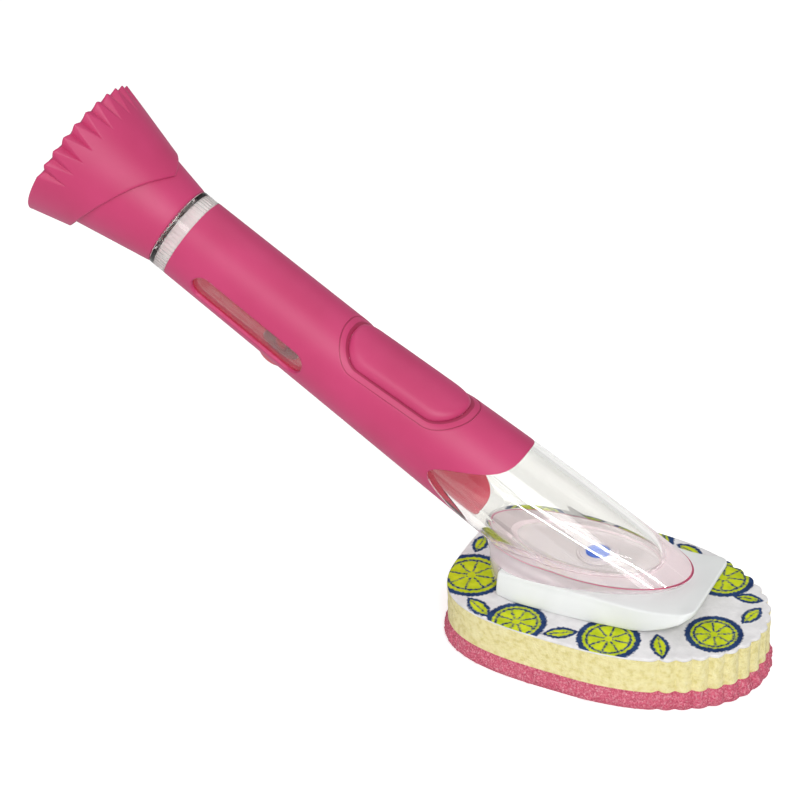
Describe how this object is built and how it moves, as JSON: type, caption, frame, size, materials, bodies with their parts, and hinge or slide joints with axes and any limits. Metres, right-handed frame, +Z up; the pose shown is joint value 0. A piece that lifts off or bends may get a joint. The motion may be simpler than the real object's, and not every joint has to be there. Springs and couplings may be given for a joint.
{
  "type": "dish wand",
  "caption": "Soap-dispensing dish wand: clear soap tube in a soft grip with thumb pad and vent, pleated screw cap, and a slide-on scalloped sponge head.",
  "frame": {"origin": "centre of the sponge's flat scouring face, which the wand rests on", "axes": "+X along the head towards its scalloped front, +Y to the left side seen from behind, +Z up; the handle rises towards -X at 31.7 degrees"},
  "size_m": [0.2746, 0.075, 0.1733],
  "materials": {
    "clear_plastic": "clear moulded plastic",
    "soft_grip": "matt soft-touch",
    "valve_rubber": "satin",
    "vent_rubber": "satin, slightly translucent",
    "seal_foam": "matt",
    "white_plastic": "satin moulded plastic",
    "printed_foam": "printed cellulose sponge",
    "yellow_foam": "soft open-cell foam",
    "scour_foam": "coarse abrasive foam"
  },
  "bodies": {
    "handle": {"reservoir": "clear_plastic", "tube_base": "clear_plastic", "valve_ring": "clear_plastic", "soap_valve": "valve_rubber", "grip_sleeve": "soft_grip", "pad_skirt": "soft_grip", "vent_plug": "vent_rubber"},
    "pump_pad": {"thumb_pad": "soft_grip"},
    "seal": {"cap_seal": "seal_foam"},
    "cap": {"cap_shell": "soft_grip", "cap_skin": "soft_grip"},
    "head": {"connector_plate": "white_plastic", "print_layer": "printed_foam", "foam_core": "yellow_foam", "scour_foam": "scour_foam"}
  },
  "joints": [
    {"name": "pad_press", "type": "slide", "parent": "handle", "child": "pump_pad", "axis": [-0.5255, 0, -0.8508], "range_m": [0, 0.0022], "stiffness_N_per_m": 600, "deforming": ["pad_skirt"]},
    {"name": "cap_lift", "type": "slide", "parent": "handle", "child": "seal", "axis": [-0.8508, 0, 0.5255], "range_m": [0, 0.012]},
    {"name": "cap_turn", "type": "hinge", "parent": "seal", "child": "cap", "pos_m": [-0.16491, 0, 0.12682], "axis": [-0.8508, 0, 0.5255], "range_deg": [0, 1080]},
    {"name": "head_slide", "type": "slide", "parent": "handle", "child": "head", "axis": [1, 0, 0], "range_m": [0, 0.045]}
  ],
  "couplings": [
    {"joint": "cap_turn", "follows": "cap_lift", "rad_per_m": 1570.8}
  ]
}
